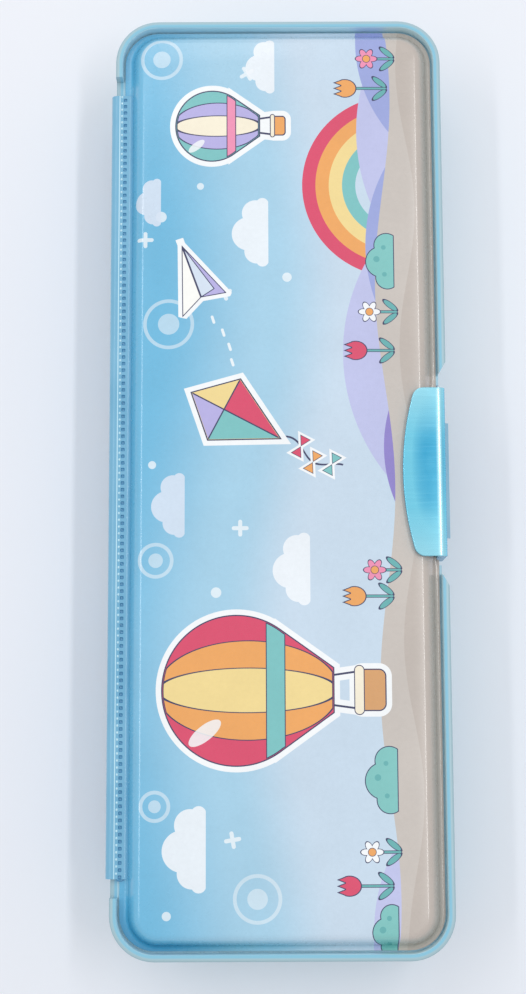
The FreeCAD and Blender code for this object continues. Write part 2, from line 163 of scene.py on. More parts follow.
def smoothBy(piece, degrees):
    makeActive(piece)
    bpy.ops.object.shade_smooth_by_angle(angle=math.radians(degrees))


def dress(piece, material):
    piece.data.materials.clear()
    piece.data.materials.append(material)
    for face in piece.data.polygons:
        face.material_index = 0


# node helpers

def tint(code):
    parts = [int(code[index:index + 2], 16) / 255 for index in (1, 3, 5)]
    linear = [part / 12.92 if part <= 0.04045 else ((part + 0.055) / 1.055) ** 2.4 for part in parts]
    return (*linear, 1.0)


def newMaterial(name):
    material = bpy.data.materials.new(name)
    material.use_nodes = True
    tree = material.node_tree
    shader = tree.nodes["Principled BSDF"]
    return material, tree, shader


def feed(tree, socket, value):
    if isinstance(value, bpy.types.NodeSocket):
        tree.links.new(value, socket)
    else:
        socket.default_value = value


def setInputs(node, values):
    for name, value in values.items():
        node.inputs[name].default_value = value


def fedNode(tree, kind, values, **settings):
    node = tree.nodes.new("ShaderNode" + kind)
    for key, value in settings.items():
        setattr(node, key, value)
    for socket, value in zip(node.inputs, values):
        feed(tree, socket, value)
    return node.outputs


def calc(tree, operation, *values):
    return fedNode(tree, "Math", values, operation=operation)[0]


def vec(tree, operation, *values):
    outputs = fedNode(tree, "VectorMath", values, operation=operation)
    return outputs["Value" if operation in ("LENGTH", "DISTANCE", "DOT_PRODUCT") else "Vector"]


def objectSpot(tree):
    return tree.nodes.new("ShaderNodeTexCoord").outputs["Object"]


def apart(tree, spot):
    return tuple(fedNode(tree, "SeparateXYZ", [spot]))


def joined(tree, *values):
    return fedNode(tree, "CombineXYZ", values)[0]


# colour and alpha by a value, from stops of (place, colour code, alpha)
def colourRamp(tree, value, interpolation, stops):
    node = tree.nodes.new("ShaderNodeValToRGB")
    ramp = node.color_ramp
    ramp.interpolation = interpolation
    while len(ramp.elements) < len(stops):
        ramp.elements.new(0.5)
    for element, (place, code, alpha) in zip(ramp.elements, stops):
        element.position = place
        element.color = (*tint(code)[:3], alpha)
    tree.links.new(value, node.inputs["Fac"])
    return node.outputs["Color"], node.outputs["Alpha"]


def noise(tree, spot, scale, detail=2.0, rough=0.5, stretch=None):
    if stretch:
        spot = vec(tree, "MULTIPLY", spot, stretch)
    node = tree.nodes.new("ShaderNodeTexNoise")
    feed(tree, node.inputs["Vector"], spot)
    setInputs(node, {"Scale": scale, "Detail": detail, "Roughness": rough})
    return node.outputs["Fac"]


def between(tree, value, low, high, fromLow=0.0, fromHigh=1.0):
    node = tree.nodes.new("ShaderNodeMapRange")
    feed(tree, node.inputs["Value"], value)
    setInputs(node, {"From Min": fromLow, "From Max": fromHigh, "To Min": low, "To Max": high})
    return node.outputs["Result"]


def mixColour(tree, factor, first, second, blend="MIX"):
    node = tree.nodes.new("ShaderNodeMix")
    node.data_type = "RGBA"
    node.blend_type = blend
    for index, value in ((0, factor), (6, first), (7, second)):
        feed(tree, node.inputs[index], value)
    return node.outputs[2]


def bump(tree, shader, height, strength, distance):
    node = tree.nodes.new("ShaderNodeBump")
    setInputs(node, {"Strength": strength, "Distance": distance * mm})
    feed(tree, node.inputs["Height"], height)
    tree.links.new(node.outputs["Normal"], shader.inputs["Normal"])


# moulded plastic or vinyl: cloudy colour, satin gloss that varies, and a fine skin
plasticSkin = {
    "cloudDetail": 3.0, "cloudSpan": (0.3, 0.7), "skinDetail": 4.0, "skinRough": 0.6,
    "skinSpan": (0.25, 0.75), "swing": 0.07, "bump": 0.2, "depth": 0.05, "stretch": None,
    "coat": 0.0, "coatRough": 0.1, "metallic": 0.0, "ior": 1.5,
}


def plasticMaterial(name, finish):
    look = {**plasticSkin, **finish}
    material, tree, shader = newMaterial(name)
    spot = objectSpot(tree)
    cloud = noise(tree, spot, look["cloud"], look["cloudDetail"])
    cloud = between(tree, cloud, 0.0, 1.0, *look["cloudSpan"])
    setInputs(shader, {"IOR": look["ior"], "Metallic": look["metallic"]})
    setInputs(shader, {"Coat Weight": look["coat"], "Coat Roughness": look["coatRough"]})
    colour = mixColour(tree, cloud, *map(tint, look["tones"]))
    feed(tree, shader.inputs["Base Color"], colour)
    skin = noise(tree, spot, look["grain"], look["skinDetail"], look["skinRough"], look["stretch"])
    low, high = look["rough"] - look["swing"], look["rough"] + look["swing"]
    feed(tree, shader.inputs["Roughness"], between(tree, skin, low, high, *look["skinSpan"]))
    bump(tree, shader, skin, look["bump"], look["depth"])
    return material


# the camera stands where the rim's measured lines in the picture put it
cameraFit = {
    "focalPixels": 1600.0, "pictureHeight": 994.0, "sensorHeight": 24.0, "clip": (0.01, 30.0),
    "place": (-4.52, -58.93, 423.35), "turn": (7.603, 0.0, -0.226),
}


def makeCamera():
    data = bpy.data.cameras.new("camera")
    data.sensor_fit = "VERTICAL"
    data.sensor_height = data.sensor_width = cameraFit["sensorHeight"]
    data.lens = cameraFit["focalPixels"] / cameraFit["pictureHeight"] * cameraFit["sensorHeight"]
    data.clip_start, data.clip_end = cameraFit["clip"]
    camera = bpy.data.objects.new("camera", data)
    bpy.context.scene.collection.objects.link(camera)
    camera.location = metres(cameraFit["place"])
    camera.rotation_euler = [math.radians(value) for value in cameraFit["turn"]]
    bpy.context.scene.camera = camera


# pale table, two long strip lamps beside the camera and an even pale room
studio = {
    "floorSize": 8000.0, "floorTones": ("#F0F2F8", "#EBEEF5"), "floorCloud": 3.0,
    "floorSpan": (0.35, 0.65), "floorRough": 0.85, "floorGloss": 0.2,
    "roomColour": (0.985, 0.99, 1.0, 1.0), "roomStrength": 0.71,
    "strips": {"stripLeft": (-600.0, 1.4), "stripRight": (400.0, 1.95)}, "stripHeight": 928.0,
    "stripMiddleY": 130.0, "stripSize": (760.0, 54.0), "aimPart": 10, "aimZ": 28.0,
    "topPower": 1.9, "topSize": (700.0, 700.0), "topPlace": (-350.0, 900.0, 1100.0),
}


def addLamp(name, place, size, power, aim):
    data = bpy.data.lights.new(name, "AREA")
    data.shape = "RECTANGLE"
    data.size, data.size_y = metres(size)
    data.energy = power
    lamp = bpy.data.objects.new(name, data)
    bpy.context.scene.collection.objects.link(lamp)
    lamp.location = metres(place)
    toward = Vector(aim) - Vector(place)
    lamp.rotation_euler = toward.to_track_quat("-Z", "Y").to_euler()


def makeStudio():
    scene = bpy.context.scene
    scene.view_settings.view_transform = "Standard"
    world = bpy.data.worlds.new("paleRoom")
    scene.world = world
    world.use_nodes = True
    ground = world.node_tree.nodes["Background"]
    setInputs(ground, {"Color": studio["roomColour"], "Strength": studio["roomStrength"]})
    for name, (x, power) in studio["strips"].items():
        place = (x, studio["stripMiddleY"], studio["stripHeight"])
        aim = (x / studio["aimPart"], studio["stripMiddleY"], studio["aimZ"])
        addLamp(name, place, studio["stripSize"], power, aim)
    addLamp("softTop", studio["topPlace"], studio["topSize"], studio["topPower"], (0, 0, 0))
    deselectAll()
    bpy.ops.mesh.primitive_plane_add(size=studio["floorSize"] * mm, location=(0, 0, 0))
    floor = bpy.context.object
    floor.name = "table"
    material, tree, shader = newMaterial("tableTop")
    cloud = noise(tree, objectSpot(tree), studio["floorCloud"])
    cloud = between(tree, cloud, 0.0, 1.0, *studio["floorSpan"])
    colour = mixColour(tree, cloud, *map(tint, studio["floorTones"]))
    feed(tree, shader.inputs["Base Color"], colour)
    setInputs(shader, {"Roughness": studio["floorRough"], "Specular IOR Level": studio["floorGloss"]})
    dress(floor, material)


makeCamera()
makeStudio()
print("camera, lamps and table set")


# printed design, drawn in millimetres on the lid: across is along the box, up is towards the hinge
inkLine = "#2B2F5C"
diecutWhite = "#F7FAFC"
printColours = {
    "skyTop": "#69B9DF", "skyMiddle": "#A4D0E8", "skyLow": "#C8DBEC", "ground": "#C8C0B9",
    "groundLow": "#BFB5AD", "hillFar": "#BFC3EA", "hillNear": "#9AA6DD", "hillViolet": "#8E7FCB",
    "bush": "#7CC4C0", "bushDark": "#5FAFAF", "crimson": "#DC4067", "orange": "#F0A658", "yellow": "#F3DA92",
    "cream": "#F8EFD8", "teal": "#78C2C2", "pink": "#F08FB4", "lavender": "#B7B0E4", "cloud": "#F1F6FB",
    "cloudShade": "#D7E4F4", "wicker": "#D9A066",
}
inkWide = 0.38
rampReach = 10.0  # millimetres each side of an outline that the colour bands can cover


class Sheet:
    def __init__(self, tree, spot, colour):
        self.tree = tree
        self.spot = spot
        self.colour = colour

    # a local frame for a motif, moved and turned
    def local(self, across, up, degrees=0.0):
        moved = vec(self.tree, "SUBTRACT", self.spot, (across, up, 0))
        if not degrees:
            return moved
        turn = math.radians(degrees)
        facings = ((math.cos(turn), math.sin(turn), 0), (-math.sin(turn), math.cos(turn), 0))
        return joined(self.tree, *[vec(self.tree, "DOT_PRODUCT", moved, facing) for facing in facings])

    def circle(self, spot, across, up, radius):
        return calc(self.tree, "SUBTRACT", vec(self.tree, "DISTANCE", spot, (across, up, 0)), radius)

    def ellipse(self, spot, across, up, wide, high):
        moved = vec(self.tree, "SUBTRACT", spot, (across, up, 0))
        scaled = vec(self.tree, "DIVIDE", moved, (wide, high, 1))
        away = calc(self.tree, "SUBTRACT", vec(self.tree, "LENGTH", scaled), 1.0)
        return calc(self.tree, "MULTIPLY", away, min(wide, high))

    # a round-cornered bar; the corner radius is also how deep an outline can reach
    def bar(self, spot, across, up, wide, high, corner):
        moved = vec(self.tree, "ABSOLUTE", vec(self.tree, "SUBTRACT", spot, (across, up, 0)))
        past = vec(self.tree, "SUBTRACT", moved, (wide / 2 - corner, high / 2 - corner, 0))
        past = vec(self.tree, "MAXIMUM", past, (0, 0, 0))
        return calc(self.tree, "SUBTRACT", vec(self.tree, "LENGTH", past), corner)

    def halfPlane(self, spot, across, up, degrees):
        facing = (math.cos(math.radians(degrees)), math.sin(math.radians(degrees)), 0)
        level = across * facing[0] + up * facing[1]
        return calc(self.tree, "SUBTRACT", vec(self.tree, "DOT_PRODUCT", spot, facing), level)

    # a convex shape from its corners, listed clockwise
    def convex(self, spot, corners):
        shape = None
        for first, second in zip(corners, corners[1:] + corners[:1]):
            run = Vector((second[0] - first[0], second[1] - first[1]))
            degrees = math.degrees(math.atan2(run.x, -run.y))
            side = self.halfPlane(spot, first[0], first[1], degrees)
            shape = side if shape is None else calc(self.tree, "MAXIMUM", shape, side)
        return shape

    def either(self, *shapes):
        whole = shapes[0]
        for shape in shapes[1:]:
            whole = calc(self.tree, "MINIMUM", whole, shape)
        return whole

    def both(self, first, second):
        return calc(self.tree, "MAXIMUM", first, second)

    def ring(self, distance, width):
        return calc(self.tree, "SUBTRACT", calc(self.tree, "ABSOLUTE", distance), width / 2)

    # lays a shape on what is drawn: fill by name or code, outline inside its edge, white border outside
    def lay(self, distance, fill, line=0.0, border=0.0, strength=1.0):
        position = calc(self.tree, "MULTIPLY_ADD", distance, 0.5 / rampReach, 0.5)
        bands = [(0.0, printColours.get(fill, fill), strength)]
        if line:
            bands.append((0.5 - line * 0.5 / rampReach, inkLine, strength))
        if border:
            bands.append((0.5, diecutWhite, strength))
        bands.append((0.5 + border * 0.5 / rampReach, diecutWhite, 0.0))
        colour, alpha = colourRamp(self.tree, position, "CONSTANT", bands)
        self.colour = mixColour(self.tree, alpha, self.colour, colour)


# each motif is drawn in a node group of its own, which lays it over the colour that comes in
def layMotif(tree, spot, colour, name, draw, *values):
    group = bpy.data.node_groups.new(name, "ShaderNodeTree")
    group.interface.new_socket("spot", in_out="INPUT", socket_type="NodeSocketVector")
    group.interface.new_socket("below", in_out="INPUT", socket_type="NodeSocketColor")
    group.interface.new_socket("drawn", in_out="OUTPUT", socket_type="NodeSocketColor")
    entry = group.nodes.new("NodeGroupInput")
    art = Sheet(group, entry.outputs["spot"], entry.outputs["below"])
    draw(art, *values)
    leave = group.nodes.new("NodeGroupOutput")
    group.links.new(art.colour, leave.inputs["drawn"])
    node = tree.nodes.new("ShaderNodeGroup")
    node.node_tree = group
    feed(tree, node.inputs["spot"], spot)
    if colour is not None:
        feed(tree, node.inputs["below"], colour)
    return node.outputs["drawn"]


# sky, paler away from the hinge, with a slow wave along the box
sky = {
    "pitch": 0.033, "drift": 7.0, "reach": 38.0,
    "stops": ((0.0, "skyLow"), (0.36, "skyLow"), (0.62, "skyMiddle"), (1.0, "skyTop")),
}


def drawSky(art):
    tree = art.tree
    across, up = apart(tree, art.spot)[:2]
    wave = calc(tree, "SINE", calc(tree, "MULTIPLY", across, sky["pitch"]))
    level = calc(tree, "ADD", up, calc(tree, "MULTIPLY", wave, sky["drift"]))
    level = between(tree, level, 0.0, 1.0, -sky["reach"], sky["reach"])
    stops = [(place, printColours[name], 1.0) for place, name in sky["stops"]]
    art.colour = colourRamp(tree, level, "EASE", stops)[0]


# faint rings, dots and crosses printed tone on tone
ornaments = {
    "rings": [(-104, 6, 5.5), (-22, 31, 4.0), (38, 28, 6.0), (108, 30, 5.0), (-82, 31, 3.4)],
    "dots": [(-30, 16, 1.3), (2, 32, 1.0), (66, 30, 1.4), (-108, 28, 1.1), (50, -2, 1.2), (74, 20, 0.9)],
    "crosses": [(-14, 10, 0), (46, 14, 20), (-90, 12, 10), (104, 8, 30), (60, 34, 0)],
    "tone": "#F4FAFD",
    "strength": {"rings": 0.42, "dots": 0.7, "crosses": 0.75},
    "ringWide": 0.9, "ringCore": 0.45, "crossBar": (4.2, 1.0), "reach": 8,
}


def drawOrnaments(art, low, high):
    tone, strength, reach = ornaments["tone"], ornaments["strength"], ornaments["reach"]

    def near(kind):
        return [place for place in ornaments[kind] if low - reach < place[0] < high + reach]

    for across, up, radius in near("rings"):
        shape = art.ring(art.circle(art.spot, across, up, radius), ornaments["ringWide"])
        inner = art.circle(art.spot, across, up, radius * ornaments["ringCore"])
        art.lay(art.either(shape, inner), tone, strength=strength["rings"])
    dots = [art.circle(art.spot, *dot) for dot in near("dots")]
    if dots:
        art.lay(art.either(*dots), tone, strength=strength["dots"])
    run, thin = ornaments["crossBar"]
    for across, up, degrees in near("crosses"):
        spot = art.local(across, up, degrees)
        bars = [art.bar(spot, 0, 0, wide, high, thin / 2) for wide, high in ((run, thin), (thin, run))]
        art.lay(art.either(*bars), tone, strength=strength["crosses"])


# round puffs in a row, cut off flat below
def puffShape(art, spot, size, form):
    puffs = [art.circle(spot, *times(size, puff)) for puff in form["puffs"]]
    puffs += [art.bar(spot, *times(size, bar)) for bar in form["bars"]]
    return art.both(art.either(*puffs), art.halfPlane(spot, 0, form["flat"] * size, -90))


clouds = [
    (-92, 20, 1.15, "cloud"), (-8, 25, 0.9, "cloudShade"), (62, 4, 1.0, "cloud"), (106, 2, 0.8, "cloud"),
    (-24, -6, 1.0, "cloud"), (70, 31, 0.7, "cloudShade"),
]
cloudForm = {
    "puffs": ((-5.2, 1.6, 3.2), (-0.6, 3.6, 4.4), (4.8, 2.0, 3.4)), "bars": ((-0.2, 0.2, 18.0, 3.2, 1.6),),
    "flat": -1.3, "strength": 0.9, "reach": 11,
}


def drawCloud(art, across, up, size, name):
    shape = puffShape(art, art.local(across, up), size, cloudForm)
    art.lay(shape, name, strength=cloudForm["strength"])


# hills as domes and the ground before them as waves: (level, pitch, colour)
land = {
    "hills": [
        ("hillFar", [(30, -66, 50), (88, -72, 52)]), ("hillNear", [(58, -66, 44), (112, -58, 38)]),
        ("hillFar", [(-112, -62, 40)]), ("hillViolet", [(6, -62, 36)]),
    ],
    "layers": [(-26.5, 0.062, "ground"), (-32.5, 0.085, "groundLow")],
    "swing": 2.2, "reach": 200,
}


def drawLand(art):
    tree = art.tree
    for colour, places in land["hills"]:
        domes = [art.circle(art.spot, *place) for place in places]
        art.lay(art.either(*domes), colour)
    across, up = apart(tree, art.spot)[:2]
    for height, pitch, colour in land["layers"]:
        wave = calc(tree, "SINE", calc(tree, "MULTIPLY_ADD", across, pitch, height))
        edge = calc(tree, "MULTIPLY_ADD", wave, land["swing"], height)
        art.lay(calc(tree, "SUBTRACT", up, edge), colour)


rainbow = {
    "middle": (74, -30), "outer": 24.0, "band": 3.4, "reach": 26,
    "colours": ("crimson", "orange", "yellow", "teal"),
}


def drawRainbow(art):
    across, up = rainbow["middle"]
    radius = rainbow["outer"]
    for name in rainbow["colours"]:
        art.lay(art.circle(art.spot, across, up, radius), name)
        radius -= rainbow["band"]
    art.lay(art.circle(art.spot, across, up, radius), "skyLow")


balloons = [
    (-54, 11, 18.5, ("crimson", "orange", "yellow", "teal"), "wicker"),
    (90, 17, 9.5, ("teal", "lavender", "cream", "pink"), "orange"),
]


# in shares of the balloon's radius, apart from lines, border and the ropes' width
balloonForm = {
    "skirt": ((-0.8135, -0.5815), (0.8135, -0.5815), (0.3, -1.3), (-0.3, -1.3)),
    "car": (0, -1.78, 0.56, 0.42, 0.1), "lip": (0, -1.63, 0.66, 0.14, 0.07),
    "rope": (0.22, -1.44, 0.36), "ropeTurn": 8, "ropeWide": 0.5,
    "gores": (0.66, 0.3), "goreUp": -0.15, "goreHigh": 1.22, "bandUp": -0.52, "bandHigh": 0.26,
    "shine": (-0.56, 0.42), "shineTurn": 38, "shineSize": (0.1, 0.26), "shineStrength": 0.8,
    "border": 1.3, "goreInk": 0.28, "bandInk": 0.26, "carInk": 0.36, "lipInk": 0.24, "reach": 3,
}


def drawBalloon(art, across, up, size, gores, basket):
    form = balloonForm
    spot = art.local(across, up)
    crown = art.circle(spot, 0, 0, size)
    skirt = art.convex(spot, [times(size, corner) for corner in form["skirt"]])
    envelope = art.either(crown, skirt)
    car = art.bar(spot, *times(size, form["car"]))
    ropeAcross, ropeUp, ropeHigh = times(size, form["rope"])
    ropes = []
    for side in (-1, 1):
        turned = art.local(across + side * ropeAcross, up + ropeUp, side * form["ropeTurn"])
        ropes.append(art.bar(turned, 0, 0, form["ropeWide"], ropeHigh, form["ropeWide"] / 2))
    art.lay(art.either(envelope, car, *ropes), gores[0], 0.0, form["border"])
    art.lay(art.either(*ropes), inkLine)
    art.lay(envelope, gores[0], inkWide)
    inside = calc(art.tree, "ADD", envelope, inkWide)
    for share, name in zip(form["gores"], gores[1:]):
        gore = art.ellipse(spot, 0, *times(size, (form["goreUp"], share, form["goreHigh"])))
        art.lay(art.both(gore, inside), name, form["goreInk"])
    level = art.halfPlane(spot, 0, form["bandUp"] * size, 90)
    band = art.both(art.ring(level, form["bandHigh"] * size), inside)
    art.lay(band, gores[3], form["bandInk"])
    shineAcross, shineUp = times(size, form["shine"])
    turned = art.local(across + shineAcross, up + shineUp, form["shineTurn"])
    shine = art.ellipse(turned, 0, 0, *times(size, form["shineSize"]))
    art.lay(shine, diecutWhite, strength=form["shineStrength"])
    art.lay(car, basket, form["carInk"])
    art.lay(art.bar(spot, *times(size, form["lip"])), "cream", form["lipInk"])


# each quarter lies on the inner side of two half planes, given by the angles they face
kite = {
    "place": (16, 14), "turn": -28.0, "tall": 13.0, "wide": 9.0, "cross": 3.4, "border": 1.2, "spar": 0.34,
    "colours": ("yellow", "crimson", "teal", "lavender"), "quarters": ((180, 90), (0, 90), (0, 270)),
    "swayPitch": 0.42, "sway": 1.5, "tailWide": 0.5, "tailDrop": 8.0, "tailBox": (8.0, 17.0, 1.0),
    "bows": ((-5.0, "crimson"), (-9.5, "orange"), (-14.0, "teal")), "bow": (2.6, 1.5), "bowInk": 0.2,
    "bowBorder": 0.5, "reach": 32,
}


def drawKite(art):
    tree = art.tree
    spot = art.local(*kite["place"], kite["turn"])
    tall, wide, cross = kite["tall"], kite["wide"], kite["cross"]
    foot = -tall - cross
    shape = art.convex(spot, [(0, tall - cross), (wide, 0), (0, foot), (-wide, 0)])
    sideways, along = apart(tree, spot)[:2]
    sway = calc(tree, "SINE", calc(tree, "MULTIPLY", along, kite["swayPitch"]))
    path = calc(tree, "MULTIPLY_ADD", sway, kite["sway"], sideways)
    box = art.bar(spot, 0, foot - kite["tailDrop"], *kite["tailBox"])
    art.lay(art.both(art.ring(path, kite["tailWide"]), box), inkLine)
    bowWide, bowHigh = kite["bow"]
    for place, name in kite["bows"]:
        drop = foot + place
        shift = -kite["sway"] * math.sin(drop * kite["swayPitch"])
        wings = []
        for side in (1, -1):
            tip = shift + side * bowWide
            corners = [(shift, drop), (tip, drop + bowHigh), (tip, drop - bowHigh)]
            wings.append(art.convex(spot, corners[::side]))
        art.lay(art.either(*wings), name, kite["bowInk"], kite["bowBorder"])
    art.lay(shape, kite["colours"][0], inkWide, kite["border"])
    inside = calc(tree, "ADD", shape, inkWide)
    for facings, name in zip(kite["quarters"], kite["colours"][1:]):
        part = art.both(*[art.halfPlane(spot, 0, 0, facing) for facing in facings])
        art.lay(art.both(part, inside), name)
    spars = [art.ring(art.halfPlane(spot, 0, 0, facing), kite["spar"]) for facing in (0, 90)]
    art.lay(art.both(art.either(*spars), inside), inkLine)


# folds in shares of the plane's half length, trail in millimetres
plane = {
    "place": (50, 22), "turn": 18.0, "size": 9.0, "cut": 1.08, "border": 1.0, "ink": 0.3, "paper": "#FDFDF8",
    "wing": ((-1, 0.62), (1, 0), (-0.62, -0.06)), "fold": ((-0.62, -0.06), (1, 0), (-0.5, -0.5)),
    "under": ((-0.62, -0.06), (1, 0), (-0.72, -0.78)),
    "trail": [(-12, -1.6), (-16, -3.0), (-20, -3.4), (-24, -2.8)],
    "dash": (2.2, 0.7, 0.35), "dashTone": "#F4FAFD", "dashStrength": 0.9, "back": 8, "reach": 24,
}


def drawPaperPlane(art):
    spot = art.local(*plane["place"], plane["turn"])
    size, ink = plane["size"], plane["ink"]
    sides = [plane[name] for name in ("wing", "fold", "under")]
    wing, fold, under = [art.convex(spot, [times(size, corner) for corner in side]) for side in sides]
    whole = art.both(art.either(wing, fold, under), art.circle(spot, 0, 0, plane["cut"] * size))
    art.lay(whole, "cream", 0.0, plane["border"])
    art.lay(under, "lavender", ink)
    art.lay(wing, plane["paper"], ink)
    art.lay(fold, "cloudShade", ink)
    dashes = [art.bar(spot, place, drop, *plane["dash"]) for place, drop in plane["trail"]]
    art.lay(art.either(*dashes), plane["dashTone"], strength=plane["dashStrength"])


# flowers: (across, up, stem height, head); a head with petals of its own is a daisy, the others are tulips
flowers = [
    (-101, -27, 9.0, "crimson"), (-93, -29, 6.0, "white"), (-31, -28, 8.0, "orange"),
    (-24.5, -30, 5.5, "pink"), (31, -29, 8.0, "crimson"), (41, -30, 6.0, "white"),
    (100, -28, 9.0, "orange"), (108, -30, 6.0, "pink"),
]
flowerForm = {
    "stalkWide": 0.8, "blade": (1.7, 1.9), "bladeTurn": 38, "bladeSize": (0.8, 2.5), "leafInk": 0.2,
    "petals": {"white": diecutWhite, "pink": "pink"}, "petalTurn": 60, "headUp": 1.2,
    "petal": (0, 1.5, 0.85, 1.45), "eye": 1.05, "daisyInk": 0.22,
    "cupUp": 1.8, "cupSize": (2.5, 3.0), "cupCut": 2.9, "tulipInk": 0.26,
    "tips": (-1.5, 0, 1.5), "tipWide": 0.95, "tipUp": (2.4, 4.9), "reach": 6,
}


def drawFlower(art, across, up, stem, name):
    form = flowerForm
    spot = art.local(across, up)
    stalk = art.bar(spot, 0, stem / 2, form["stalkWide"], stem, form["stalkWide"] / 2)
    bladeAcross, bladeUp = form["blade"]
    blades = []
    for side in (-1, 1):
        turned = art.local(across + side * bladeAcross, up + bladeUp, -side * form["bladeTurn"])
        blades.append(art.ellipse(turned, 0, 0, *form["bladeSize"]))
    art.lay(art.either(stalk, *blades), "bushDark", form["leafInk"])
    if name in form["petals"]:
        head = stem + form["headUp"]
        turns = range(0, 360, form["petalTurn"])
        petals = [art.ellipse(art.local(across, up + head, turn), *form["petal"]) for turn in turns]
        art.lay(art.either(*petals), form["petals"][name], form["daisyInk"])
        art.lay(art.circle(spot, 0, head, form["eye"]), "orange", form["daisyInk"])
    else:
        cup = art.ellipse(spot, 0, stem + form["cupUp"], *form["cupSize"])
        cup = art.both(cup, art.halfPlane(spot, 0, stem + form["cupCut"], 90))
        low, high = [stem + value for value in form["tipUp"]]
        wide = form["tipWide"]
        tips = []
        for place in form["tips"]:
            tips.append(art.convex(spot, [(place - wide, low), (place, high), (place + wide, low)]))
        art.lay(art.either(cup, *tips), name, form["tulipInk"])


bushes = [(-76, -27, 1.0), (54, -28, 0.9), (-112, -27, 0.8)]
bushForm = {
    "puffs": ((-4.6, 0.6, 3.4), (0, 2.2, 4.6), (4.8, 0.8, 3.6)), "bars": (), "flat": -1.4, "ink": 0.3,
    "dots": ((-3.6, 1.4, 0.6), (0.8, 3.6, 0.8), (4.2, 1.6, 0.6)), "reach": 10,
}


def drawBush(art, across, up, size):
    spot = art.local(across, up)
    art.lay(puffShape(art, spot, size, bushForm), "bush", bushForm["ink"])
    dots = [art.circle(spot, x * size, y * size, radius) for x, y, radius in bushForm["dots"]]
    art.lay(art.either(*dots), "bushDark")


# what is drawn, from the back to the front, with the stretch of the lid's length that each motif takes
def motifList():
    motifs = [("cloud", drawCloud, cloud, cloud[0], cloudForm["reach"] * cloud[2]) for cloud in clouds]
    motifs.append(("rainbow", drawRainbow, (), rainbow["middle"][0], rainbow["reach"]))
    motifs.append(("land", drawLand, (), 0, land["reach"]))
    motifs += [("bush", drawBush, bush, bush[0], bushForm["reach"] * bush[2]) for bush in bushes]
    motifs += [("flower", drawFlower, flower, flower[0], flowerForm["reach"]) for flower in flowers]
    for balloon in balloons:
        motifs.append(("balloon", drawBalloon, balloon, balloon[0], balloon[2] + balloonForm["reach"]))
    motifs.append(("kite", drawKite, (), kite["place"][0], kite["reach"]))
    motifs.append(("paperPlane", drawPaperPlane, (), plane["place"][0] - plane["back"], plane["reach"]))
    return motifs


# the sheet is drawn in lengths, because one shader can't hold every motif
printLengths = [-120, -76, -32, 4, 40, 76, 120]
coverLook = {
    "rough": (0.26, 0.3), "roughScale": 420.0, "span": (0.3, 0.7), "coat": 0.95, "coatRough": 0.16,
    "grain": (0.97, 1.025), "grainNoise": (900.0, 3.0, 0.7), "grainSpan": (0.25, 0.75),
    "cloud": (0.97, 1.03), "cloudNoise": (55.0, 3.0), "waveNoise": (45.0, 1.0), "wave": (0.05, 0.2),
    # the keys below set the painted shade that darkens the rolled edge towards its foot
    "shadeZ": (24.9, 27.5), "borderZ": (24.25, 24.5), "borderShare": 0.75, "shadeEnd": (-116.0, -104.0),
    "paintedShade": (0.22, 0.75), "shadeSide": (-25.0, 20.0), "sideShare": 0.2, "shadeTint": (1.0, 1.05, 0.84, 1.0),
}


def printedMaterial(low, high):
    look = coverLook
    material, tree, shader = newMaterial("printedFilm")
    where = objectSpot(tree)
    x, y, z = apart(tree, where)
    spot = joined(tree, calc(tree, "MULTIPLY", y, 1 / mm), calc(tree, "MULTIPLY", x, -1 / mm))
    colour = layMotif(tree, spot, None, "sky", drawSky)
    colour = layMotif(tree, spot, colour, "ornaments", drawOrnaments, low, high)
    for name, draw, values, middle, reach in motifList():
        if middle + reach > low and middle - reach < high:
            colour = layMotif(tree, spot, colour, name, draw, *values)
    # painted shade: the rolled edge is darkened and tinted towards its foot, most of all at the near end,
    # where it would reflect the dark room
    foot = between(tree, z, 1.0, 0.0, *metres(look["shadeZ"]))
    end = between(tree, y, look["paintedShade"][1], 0.0, *metres(look["shadeEnd"]))
    border = between(tree, z, look["borderShare"], 1.0, *metres(look["borderZ"]))
    side = between(tree, x, 1.0, look["sideShare"], *metres(look["shadeSide"]))
    foot = calc(tree, "MULTIPLY", calc(tree, "MULTIPLY", foot, border), side)
    power = tree.nodes.new("ShaderNodeGamma")
    tree.links.new(colour, power.inputs["Color"])
    paintedShade = calc(tree, "MULTIPLY", foot, calc(tree, "ADD", end, look["paintedShade"][0]))
    tree.links.new(calc(tree, "ADD", paintedShade, 1.0), power.inputs["Gamma"])
    colour = mixColour(tree, paintedShade, power.outputs["Color"], look["shadeTint"], "MULTIPLY")
    grain = between(tree, noise(tree, where, *look["grainNoise"]), *look["grain"], *look["grainSpan"])
    cloud = between(tree, noise(tree, where, *look["cloudNoise"]), *look["cloud"], *look["span"])
    colour = vec(tree, "MULTIPLY", colour, calc(tree, "MULTIPLY", grain, cloud))
    feed(tree, shader.inputs["Base Color"], colour)
    rough = between(tree, noise(tree, where, look["roughScale"]), *look["rough"], *look["span"])
    feed(tree, shader.inputs["Roughness"], rough)
    setInputs(shader, {"Coat Weight": look["coat"], "Coat Roughness": look["coatRough"]})
    bump(tree, shader, noise(tree, where, *look["waveNoise"]), *look["wave"])
    return material


# padded cover of the lid: film over print and foam, rolled edges, flat welded border
cover = {
    "x": (-37.8, 38.6), "y": (-115.6, 115.6), "z": (23.9, 28.6), "corner": 7.6, "cornerSteps": 14,
    "roll": 3.5, "rollSteps": 9, "crown": 0.8, "middleX": 0.4, "half": 38.2, "gridX": 2.6, "gridY": 5.2,
    "borderX": (-39.7, 39.7), "borderY": (-116.7, 116.7), "borderZ": (23.8, 24.2), "borderCorner": 8.7,
    "tabX": (-41.3, -30.0), "tabY": (-99.5, 99.5),
    "notchX": (38.6, 60.0), "notchY": 21.7, "notchZ": (20.0, 24.3), "notchFoot": (38, 0.2),
    "foot": 0.7, "footSteps": 3, "footSink": 0.05, "footNear": (0.15, 0.02), "lean": 2.15, "smooth": 32,
}
